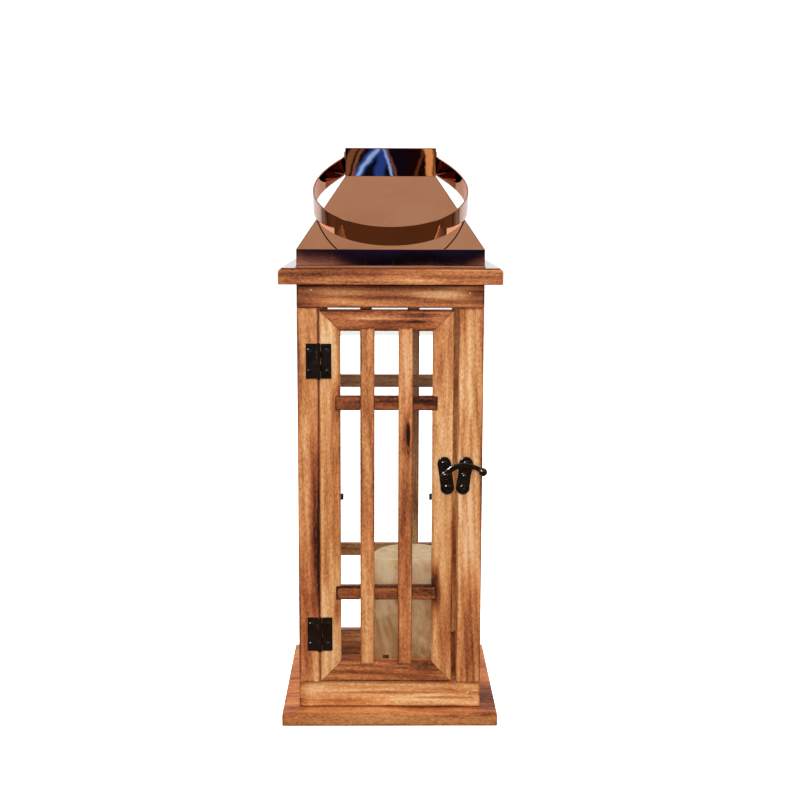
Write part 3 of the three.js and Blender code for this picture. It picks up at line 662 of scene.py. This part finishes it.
#: Screws: the head's radius and rise, the reach of its cross, and the shank's radius and length.
HINGE_SCREW = dict(radius=2.2 * MM, rise=0.8 * MM, recess=1.3 * MM, shank=(1.1 * MM, 2.2 * MM))
CLIP_SCREW = dict(radius=2.1 * MM, rise=1.1 * MM, recess=1.2 * MM, shank=(0.9 * MM, 0.8 * MM))
LATCH_SCREW = dict(radius=3.3 * MM, rise=1.7 * MM, recess=1.4 * MM, shank=(1.4 * MM, 1.0 * MM))


def screw(bm, matrix, radius, rise, recess, shank, steps=24):
    """A domed screw head with a cross recess, standing on z = 0, and a short shank below it."""
    # The head goes from a flat land round the cross, in shares of its radius and rise, down to its rim.
    land = radius * 0.62
    top = rise * 0.9
    outline = cross_outline(recess, recess * 0.3)
    cross = ring_of(bm, [(x, y, top) for x, y in outline], matrix)
    floor = ring_of(bm, [(x * 0.72, y * 0.72, top - recess * 0.75) for x, y in outline], matrix)
    profile = [(land, top), (radius * 0.82, rise * 0.72), (radius * 0.95, rise * 0.36), (radius, 0.0),
               (shank[0], -0.02 * MM), (shank[0], -shank[1]), (0, -shank[1])]
    rings = lathe(bm, profile, matrix, steps)
    edges = []
    for loop in (cross, rings[0]):
        for i, vert in enumerate(loop):
            other = loop[(i + 1) % len(loop)]
            edges.append(bm.edges.get((vert, other)) or bm.edges.new((vert, other)))
    bmesh.ops.triangle_fill(bm, use_beauty=True, use_dissolve=False, edges=edges)
    skin(bm, [cross, floor])
    bm.faces.new(floor)


def hinge_screws():
    """Two oval-headed screws in each hinge leaf."""
    leaf_thick, end_gap, edge_gap = 1.2 * MM, 6.5 * MM, 3.2 * MM
    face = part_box("hinge_lower_post_leaf")[1][1] - leaf_thick
    for level in ("lower", "upper"):
        for leaf, body, side in (("post_leaf", "cabinet", -1), ("door_leaf", "door", 1)):
            low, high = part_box(f"hinge_{level}_{leaf}")
            edge = low[0] if side < 0 else high[0]
            middle = (low[2] + high[2]) / 2
            half = (high[2] - low[2]) / 2
            bm = bmesh.new()
            for z in (middle - half + end_gap, middle + half - end_gap):
                place = (edge - side * edge_gap, face, z)
                screw(bm, placed(place, (0, -1, 0)) @ random_turn(), **HINGE_SCREW)
            finish_piece(f"hinge_{level}_{leaf}_screws", bm, body, SCREW_BLACK)


def clip_screws():
    """One screw in the foot of each glass clip, on the door's inner face."""
    reach = 3.4 * MM
    for name, corner, way in (("left", 0, 1), ("right", 0, -1), ("top", 2, -1), ("bottom", 2, 1)):
        low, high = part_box(f"door_clip_{name}")
        place = [(a + b) / 2 for a, b in zip(low, high)]
        place[corner] = (low if way > 0 else high)[corner] + way * reach
        place[1] = high[1]
        bm = bmesh.new()
        screw(bm, placed(place, (0, 1, 0)) @ random_turn(), **CLIP_SCREW)
        finish_piece(f"door_clip_{name}_screw", bm, "door", SCREW_BLACK)


#: A filled nail head: radius and height of its profile, in mm.
BRAD_PROFILE = [(0, 0.14), (0.45, 0.12), (0.8, 0.03), (0.85, -0.3), (0, -0.3)]
#: The rails' outward directions.
OUTWARD = {"front": (0, -1, 0), "back": (0, 1, 0), "left": (-1, 0, 0), "right": (1, 0, 0)}


def brads():
    """One small filled nail head near each end of each rail."""
    profile = [(radius * MM, height * MM) for radius, height in BRAD_PROFILE]
    for level in ("bottom_rail", "top_rail"):
        for side, axis in OUTWARD.items():
            low, high = corners(f"{level}_{side}")
            run = 0 if axis[0] == 0 else 1
            face = 1 - run
            bm = bmesh.new()
            for end in (low[run], high[run]):
                place = Vector((0, 0, low.z + (high.z - low.z) * draw.uniform(0.35, 0.75)))
                inward = (low[run] + high[run]) / 2 - end
                place[run] = end + math.copysign(draw.uniform(10, 15) * MM, inward)
                place[face] = high[face] if axis[face] > 0 else low[face]
                lathe(bm, profile, placed(place, axis), 16)
            finish_piece(f"{level}_{side}_brads", bm, "cabinet", BRAD)


#: A latch plate's lobes, in mm: radius, how far they are above and below the middle, how far they lean
#: to each side, the waist's half width between them, and how many degrees of arc each shows.
LOBE_RADIUS, LOBE_OFFSET, LOBE_LEAN, WAIST, LOBE_SWEEP = 6.4, 11.2, 1.5, 6.1, 200
PLATE_THICK = 2.2 * MM
#: Its rim, from the back to the field: how far in (mm) and how high, as a share of the thickness.
PLATE_RIM = [(0.0, 0.0), (0.0, 0.55), (0.15, 0.80), (0.45, 0.95), (0.9, 1.0), (1.35, 0.94), (1.7, 0.82)]


def plate_outline(toward):
    """Outline of a latch plate about its middle: two lobes, the lower one leaning to the gap."""
    steps = 40
    points = []
    for side in (1, -1):
        start = (180 - LOBE_SWEEP) / 2 + (0 if side > 0 else 180)
        for i in range(steps + 1):
            angle = math.radians(start + LOBE_SWEEP * i / steps)
            points.append(((-side * toward * LOBE_LEAN + LOBE_RADIUS * math.cos(angle)) * MM,
                           (side * LOBE_OFFSET + LOBE_RADIUS * math.sin(angle)) * MM))
        points.append((-side * WAIST * MM, 0.0))
    return points


def inset_outline(points, depth):
    """The outline moved inward along its own normals."""
    moved = []
    for i, (x, y) in enumerate(points):
        before, after = Vector(points[i - 1]), Vector(points[(i + 1) % len(points)])
        along = (after - before).normalized()
        moved.append((x - along.y * depth, y + along.x * depth))
    return moved


def latch_plate(name, toward, body):
    """A cast plate with a rolled rim, a shallow field inside it, and a domed screw in each lobe.
    Gives the middle of its back."""
    low, high = corners(name)
    middle = Vector(((low.x + high.x) / 2, high.y, (low.z + high.z) / 2))
    matrix = placed(middle, (0, -1, 0))
    flat = plate_outline(toward)
    bm = bmesh.new()
    capped(bm, [ring_of(bm, [(x, y, rise * PLATE_THICK) for x, y in inset_outline(flat, depth * MM)], matrix)
                for depth, rise in PLATE_RIM])
    obj = finish_piece(name + "_cast", bm, body, LATCH_BLACK, 60)
    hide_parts(name)

    field = PLATE_RIM[-1][1] * PLATE_THICK
    bm = bmesh.new()
    for side in (1, -1):
        spot = matrix @ Vector((-side * toward * LOBE_LEAN * MM, side * LOBE_OFFSET * MM, field))
        screw(bm, placed(spot, (0, -1, 0)) @ random_turn(), **LATCH_SCREW)
    finish_piece(name + "_screws", bm, body, LATCH_BLACK)
    return middle


#: The catch's stud, in mm: radius and height of its foot, then radius and depth below the top.
STUD_FOOT = [(0, 1.0), (2.9, 1.0), (2.9, 2.4), (2.4, 2.8)]
STUD_TIP = [(2.4, 1.6), (2.25, 1.0), (1.85, 0.5), (1.1, 0.12), (0, 0)]
#: The arm: its thickness, the control points (x, z) of its middle line from the pivot in mm, its half
#: width at the pivot and how much of that it loses by the ball, both in mm, and the ball's radius.
ARM_THICK = 2.8 * MM
ARM_LINE = [(0, 0), (4.5, 12.5), (22.5, 12.5), (33.6, 4.4)]
ARM_HALF_WIDTH, ARM_TAPER = 3.0, 0.9
BALL_RADIUS = 4.0 * MM
#: The arm's boss about the pivot: radius and height, in mm, up to the arm's own face.
BOSS = [(4.7, 0), (5.0, 0.5), (5.0, 2.0), (4.5, 2.6)]
BOSS_FACE = 3.6 * MM
#: The pivot's rivet: the radius of its head and of its shank, and how deep the shank goes.
PIVOT_HEAD, PIVOT_SHANK, PIVOT_DEPTH = 3.0 * MM, 1.5 * MM, 4.5 * MM


def cubic(controls, t):
    """A place on a cubic curve, and the direction of the curve there."""
    a, b, c, d = controls
    spot = a * (1 - t) ** 3 + b * 3 * t * (1 - t) ** 2 + c * 3 * t * t * (1 - t) + d * t ** 3
    along = ((b - a) * (1 - t) ** 2 + (c - b) * 2 * t * (1 - t) + (d - c) * t * t).normalized()
    return spot, along


def squarish(value):
    """Pushes a circle's coordinate outward, towards a rounded square."""
    return math.copysign(abs(value) ** 0.75, value)


def arm_rings(bm, pivot, centre_y, count=40, sides=20):
    """The arched arm's sections, from the pivot to the ball."""
    controls = [Vector((x * MM, 0, z * MM)) for x, z in ARM_LINE]
    start = Vector((pivot.x, centre_y, pivot.z))
    rings = []
    for i in range(count + 1):
        t = i / count
        spot, along = cubic(controls, t)
        side = Vector((-along.z, 0, along.x))
        half_wide = (ARM_HALF_WIDTH - ARM_TAPER * t) * MM
        half_deep = ARM_THICK / 2 * (0.98 - 0.08 * t)
        ring = []
        for k in range(sides):
            angle = 2 * math.pi * k / sides
            out, deep = squarish(math.cos(angle)), squarish(math.sin(angle))
            ring.append(start + spot + side * out * half_wide + Vector((0, deep * half_deep, 0)))
        rings.append(ring_of(bm, ring))
    return rings


def ball_profile(radius, steps=20):
    """A ball's profile about its middle, for lathe."""
    angles = [math.pi * i / steps for i in range(steps + 1)]
    return [(radius * math.sin(angle) if 0 < angle < math.pi else 0, -radius * math.cos(angle))
            for angle in angles]


def latch():
    """Both plates, the stud, the arched arm with its ball, and the rivet it turns on."""
    pivot = latch_plate("latch_door_plate", 1, "door")
    stud = latch_plate("latch_catch_plate", -1, "cabinet")
    length = stud.y - corners("latch_catch_plate")[0].y
    profile = [(radius * MM, height * MM) for radius, height in STUD_FOOT]
    profile += [(radius * MM, length - depth * MM) for radius, depth in STUD_TIP]
    bm = bmesh.new()
    lathe(bm, profile, placed(stud, (0, -1, 0)))
    finish_piece("latch_catch_stud", bm, "cabinet", LATCH_BLACK)

    back = corners("latch_arm")[1].y
    bm = bmesh.new()
    capped(bm, arm_rings(bm, pivot, back - ARM_THICK / 2))
    profile = [(0, 0)] + [(radius * MM, height * MM) for radius, height in BOSS]
    profile += [(BOSS_FACE, ARM_THICK), (0, ARM_THICK)]
    lathe(bm, profile, placed((pivot.x, back, pivot.z), (0, -1, 0)), 40)
    end_x, end_z = ARM_LINE[-1]
    ball = (pivot.x + end_x * MM, back - BALL_RADIUS, pivot.z + end_z * MM)
    lathe(bm, ball_profile(BALL_RADIUS), placed(ball, (0, -1, 0)), 36)
    arm = finish_piece("latch_arm_cast", bm, "latch_arm", LATCH_BLACK, 50)
    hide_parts("latch_arm")

    base = back - ARM_THICK - 0.3 * MM
    rise = base - corners("latch_pivot_pin")[0].y
    profile = [(0, -PIVOT_DEPTH), (PIVOT_SHANK, -PIVOT_DEPTH), (PIVOT_SHANK, 0), (PIVOT_HEAD, 0)]
    profile += [(PIVOT_HEAD * math.cos(a), rise * math.sin(a)) for a in (0.25, 0.55, 0.85, 1.15, 1.4)]
    bm = bmesh.new()
    lathe(bm, profile + [(0, rise)], placed((pivot.x, base, pivot.z), (0, -1, 0)))
    pin = finish_piece("latch_pivot_rivet", bm, "door", LATCH_BLACK)
    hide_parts("latch_pivot_pin")


#: How the candle's lower and upper edges are rounded.
FOOT_EASE, SHOULDER = 1.2 * MM, 4.5 * MM
#: The pool burnt into the candle's top: share of the radius, and depth in mm.
POOL = [(0.78, 0.4), (0.66, 1.5), (0.45, 2.0), (0.2, 2.1)]
WICK_HOLE, WICK_HOLE_DEPTH = 1.1 * MM, 17 * MM
#: Its sides are uneven by this much either way.
SIDE_SWAY = 0.25 * MM


def pillar_candle():
    """The candle: a cast pillar with a soft shoulder, a shallow pool and slightly uneven sides."""
    low, high = corners("candle")
    radius = (high.x - low.x) / 2
    height = high.z - low.z
    profile = [(0, 0), (radius - FOOT_EASE, 0), (radius, FOOT_EASE)]
    profile += [(radius, height * i / 24) for i in range(1, 23)]
    profile += [(radius - SHOULDER + SHOULDER * math.cos(a), height - SHOULDER + SHOULDER * math.sin(a))
                for a in (math.pi / 2 * i / 8 for i in range(9))]
    profile += [(radius * share, height - depth * MM) for share, depth in POOL]
    profile += [(WICK_HOLE, height - POOL[-1][1] * MM), (WICK_HOLE, height - WICK_HOLE_DEPTH),
                (0, height - WICK_HOLE_DEPTH)]

    def uneven(point, angle):
        """Draws the sides in by up to twice the sway, in slow waves round and up the candle."""
        if math.hypot(point.x, point.y) < radius * 0.5:
            return point
        sway = (math.sin(3 * angle + point.z * 60) + 0.7 * math.sin(7 * angle - point.z * 140)
                + 0.5 * math.sin(2 * angle + point.z * 23 + 1)) / 2.2
        shrink = 1 - (SIDE_SWAY + SIDE_SWAY * sway) / radius
        return Vector((point.x * shrink, point.y * shrink, point.z))

    bm = bmesh.new()
    lathe(bm, profile, Matrix.Translation(middle_of(low, high)), 96, uneven)
    candle = finish_piece("candle_pillar", bm, "cabinet", WAX, 60)
    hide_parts("candle")


def around(centre, radius, angle):
    """A point on a level circle."""
    return centre + Vector((radius * math.cos(angle), radius * math.sin(angle), 0))


def braided_wick(strands=3, turns=5, steps=60, sides=8):
    """The wick: strands that wind round each other."""
    off_middle, thread = 0.36 * MM, 0.42 * MM
    low, high = corners("candle_wick")
    foot = middle_of(low, high)
    length = high.z - low.z
    bm = bmesh.new()
    for strand in range(strands):
        rings = []
        for i in range(steps + 1):
            share = i / steps
            angle = 2 * math.pi * (strand / strands + share * turns)
            centre = around(foot, off_middle, angle) + Vector((0, 0, length * share))
            rings.append(ring_of(bm, [around(centre, thread, 2 * math.pi * k / sides) for k in range(sides)]))
        capped(bm, rings)
    wick = finish_piece("candle_wick_braid", bm, "cabinet", COTTON)
    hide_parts("candle_wick")


hinge_screws()
clip_screws()
brads()
latch()
pillar_candle()
braided_wick()


# ---------------------------------------------------------------------- stage

UPWARD = (0, 0, 1)
TO_CAMERA = (0, -1, 0)
#: The middle of the lantern, where most of the softboxes aim.
MIDDLE = (0, 0, 0.25)


def plain(name, colour, strength):
    """A stage material that glows by itself as much as it is asked to."""
    return Graph(name).principled(Base_Color=colour, Roughness=0.9,
                                  Emission_Color=colour, Emission_Strength=strength)


def card(name, matrix, width, height, material):
    """A flat card of the studio. It casts no shadow, and only the polished surfaces see it."""
    x, y = width / 2, height / 2
    mesh = bpy.data.meshes.new(name)
    mesh.from_pydata([(-x, -y, 0), (x, -y, 0), (x, y, 0), (-x, y, 0)], [], [(0, 1, 2, 3)])
    mesh.materials.append(material)
    obj = bpy.data.objects.new(name, mesh)
    scene.collection.objects.link(obj)
    obj.matrix_world = matrix
    obj.visible_camera = False
    obj.visible_shadow = False
    obj.visible_diffuse = False
    return obj


def soft_light(name, position, target, size, power, colour=(1, 1, 1)):
    """A square softbox that the camera and the polished surfaces don't see."""
    light = bpy.data.lights.new(name, "AREA")
    light.shape = "SQUARE"
    light.size = size
    light.energy = power
    light.color = colour
    obj = bpy.data.objects.new(name, light)
    scene.collection.objects.link(obj)
    obj.location = position
    obj.rotation_euler = (Vector(target) - Vector(position)).to_track_quat("-Z", "Y").to_euler()
    obj.visible_camera = False
    obj.visible_glossy = False
    return obj


def studio():
    """White paper below and behind, softboxes round the front, and cards for the copper to mirror."""
    floor = card("floor", placed((0, 1.0, 0), UPWARD), 14, 12, plain("floor", (0.9, 0.9, 0.9, 1), 1.45))
    floor.visible_camera = True
    floor.visible_shadow = True
    floor.visible_glossy = False
    wall = placed((0, 3.6, 1.6), TO_CAMERA)
    backdrop = card("backdrop", wall, 9, 4, plain("backdrop", (1, 1, 1, 1), 0.9))
    backdrop.visible_camera = True
    backdrop.visible_diffuse = True
    backdrop.visible_glossy = False
    soft_light("key", (-0.8, -1.7, 1.3), MIDDLE, 1.1, 14)
    soft_light("fill", (1.1, -1.5, 1.0), MIDDLE, 1.0, 8)
    soft_light("front", (0.05, -2.2, 0.75), (0, 0, 0.22), 0.9, 18)
    soft_light("back", (0.3, 1.6, 1.4), MIDDLE, 1.2, 5)
    for side in (-1, 1):
        soft_light(f"side_{side}", (1.2 * side, 0.1, 0.55), (0, 0, 0.12), 0.8, 12, (1, 0.95, 0.88))
        strip = placed((1.25 * side, -0.9, 0.95), (-1.25 * side, 0.9, -0.65))
        card(f"strip_{side}", strip, 0.3, 1.0, plain(f"strip_{side}", (1, 0.98, 0.95, 1), 0.8))
    iron_glint()
    wall = placed((0, 3.5, 1.6), TO_CAMERA)
    card("far_wall", wall, 9, 4, plain("far_wall", (0.86, 0.92, 1, 1), 0.66))
    card("paper_sheen", Matrix.Translation((0, 1.5, 0.001)), 9, 5, paper_glow())
    card("room", placed((0, -1.9, 0.5), (0, 1, 0)), 0.9, 0.7, room_folds())
    world_light()


def iron_glint():
    """A bright softbox that lights the black iron alone, and that it mirrors as small white glints."""
    glint = soft_light("glint", (-0.95, -1.15, 1.35), MIDDLE, 0.45, 40)
    glint.visible_glossy = True
    ironwork = bpy.data.collections.new("ironwork")
    for piece in scene.objects:
        if piece.name.startswith(("latch", "hinge", "door_clip")):
            ironwork.objects.link(piece)
    glint.light_linking.receiver_collection = ironwork


def world_light():
    """White to the camera; to all else a room with a brown floor, a dark horizon and a pale ceiling."""
    world = bpy.data.worlds.new("studio")
    scene.world = world
    g = Graph("studio", world)
    up = g.parts(g.coordinates["Generated"])[2]
    colour = g.ramp(g.spread(up, -1.0, 1.0, smooth=False), [
        (0.00, (0.10, 0.038, 0.014, 1)), (0.42, (0.09, 0.034, 0.013, 1)), (0.50, (0.012, 0.012, 0.016, 1)),
        (0.72, (0.03, 0.025, 0.02, 1)), (0.84, (0.46, 0.31, 0.21, 1)), (1.00, (0.52, 0.36, 0.25, 1)),
    ])
    room = g.node("ShaderNodeBackground", {"Color": colour, "Strength": 1.0}).outputs[0]
    paper = g.node("ShaderNodeBackground", {"Color": (1, 1, 1, 1), "Strength": 1.3}).outputs[0]
    seen = g.node("ShaderNodeLightPath").outputs["Is Camera Ray"]
    g.node("ShaderNodeOutputWorld", {"Surface": g.mix_shaders(seen, room, paper)})


def paper_glow():
    """What the copper sees of the paper: pale far off, streaked brown beside the object, brown in front."""
    g = Graph("paper_glow")
    streak = g.noise((9, 2.5, 1), 3, 0.6, 3)
    far = g.math("ADD", g.parts(g.place)[1], g.centred(streak, 0.9))
    return g.glow(g.ramp(g.spread(far, -1.5, 0.9, smooth=False), [
        (0.00, (0.10, 0.038, 0.014, 1)), (0.12, (0.13, 0.055, 0.025, 1)), (0.22, (0.03, 0.014, 0.010, 1)),
        (0.34, (0.28, 0.19, 0.13, 1)), (0.44, (0.16, 0.11, 0.09, 1)), (0.60, (0.60, 0.56, 0.54, 1)),
        (1.00, (0.72, 0.75, 0.78, 1)),
    ]))


#: Bands in what the copper mirrors, one painted over the other. Each has the place of its foot, its slope,
#: half its width, how softly it ends, and its colour.
CHIMNEY_FOLDS = [
    (-0.02, 0.10, 0.030, 0.012, (0.24, 0.11, 0.05)),
    (0.06, 0.10, 0.010, 0.010, (0.30, 0.13, 0.06)),
    (0.13, 0.17, 0.035, 0.045, (0.03, 0.10, 0.55)),
    (0.13, 0.18, 0.010, 0.035, (0.34, 0.72, 1.60)),
    (0.38, 0.02, 0.030, 0.040, (0.02, 0.07, 0.42)),
    (0.52, -0.10, 0.008, 0.012, (0.30, 0.62, 1.50)),
    (0.57, -0.12, 0.008, 0.012, (0.20, 0.08, 0.06)),
    (0.78, 0.05, 0.008, 0.014, (0.12, 0.04, 0.02)),
    (0.955, -0.04, 0.050, 0.012, (0.80, 0.44, 0.18)),
    (0.985, -0.02, 0.010, 0.010, (0.20, 0.08, 0.03)),
]
SKIRT_FOLDS = [
    (0.26, 0.40, 0.12, 0.10, (0.17, 0.08, 0.07)),
    (0.28, 0.40, 0.03, 0.06, (0.52, 0.29, 0.27)),
    (0.72, 0.10, 0.02, 0.14, (0.012, 0.010, 0.040)),
]


def room_folds():
    """What the polished copper sees beside the camera: dark cloth, blue folds and a lit doorway."""
    g = Graph("room_folds")
    parts = g.parts(g.place)
    across, up = parts[0], parts[1]
    ripple = g.centred(g.noise((9, 16, 1), 2, 0.5, 4), 0.16)

    def share(value, start, stop):
        """Where a value is between two others: 0 at the first and 1 at the second."""
        return g.math("MULTIPLY", g.math("SUBTRACT", value, start), 1 / (stop - start))

    def folded(colour, folds, place, rise):
        """The bands laid over a colour: place is measured across them, and rise along them."""
        for foot, slope, half, soft, tint in folds:
            middle = g.math("ADD", g.math("MULTIPLY", rise, slope), foot)
            off = g.math("ABSOLUTE", g.math("SUBTRACT", place, middle))
            colour = g.mix(g.spread(off, half, half + soft, 1.0, 0.0), colour, (*tint, 1))
        return colour

    # What the chimney sees: right goes from 0 at its left edge to 1 at its right.
    right = g.math("ADD", share(across, 0.094, -0.111), ripple)
    upper = g.mix(g.spread(right, 0.5, 0.8), (0.004, 0.004, 0.014, 1), (0.010, 0.002, 0.002, 1))
    upper = folded(upper, CHIMNEY_FOLDS, right, share(up, 0.038, 0.101))

    # What the skirt sees: a copper-pink fold sagging to the middle, blue-violet over and under it.
    height = g.math("ADD", share(up, -0.142, -0.100), g.math("MULTIPLY", ripple, 1.6))
    sag = g.math("ABSOLUTE", g.math("SUBTRACT", share(across, 0.20, -0.21), 0.55))
    lower = g.mix(g.spread(height, 0.0, 0.5), (0.010, 0.010, 0.030, 1), (0.004, 0.003, 0.006, 1))
    lower = folded(lower, SKIRT_FOLDS, height, sag)
    return g.glow(g.mix(g.spread(up, -0.04, -0.02), lower, upper))


#: The camera that was fitted to the photograph's edges: place (m), pitch, yaw and roll (degrees), lens (mm).
CAMERA_PLACE = (-0.0058, -1.3115, 0.4837)
PITCH_YAW_ROLL = (8.32, 0.68, 0.18)
FOCAL_LENGTH = 61.4
SENSOR_WIDTH = 36


def camera():
    """The photograph's camera, a little above the middle and looking slightly down."""
    pitch, yaw, roll = (math.radians(value) for value in PITCH_YAW_ROLL)
    ahead = Vector((math.sin(yaw) * math.cos(pitch), math.cos(yaw) * math.cos(pitch), -math.sin(pitch)))
    right = Vector((math.cos(yaw), -math.sin(yaw), 0))
    up = right.cross(ahead)
    rolled_right = right * math.cos(roll) + up * math.sin(roll)
    rolled_up = up * math.cos(roll) - right * math.sin(roll)
    data = bpy.data.cameras.new("camera")
    data.sensor_width = SENSOR_WIDTH
    data.lens = FOCAL_LENGTH
    data.clip_start = 0.01
    obj = bpy.data.objects.new("camera", data)
    scene.collection.objects.link(obj)
    turn = Matrix((rolled_right, rolled_up, -ahead)).transposed().to_4x4()
    obj.matrix_world = Matrix.Translation(CAMERA_PLACE) @ turn
    scene.camera = obj


camera()
studio()
scene.view_settings.view_transform = "Standard"
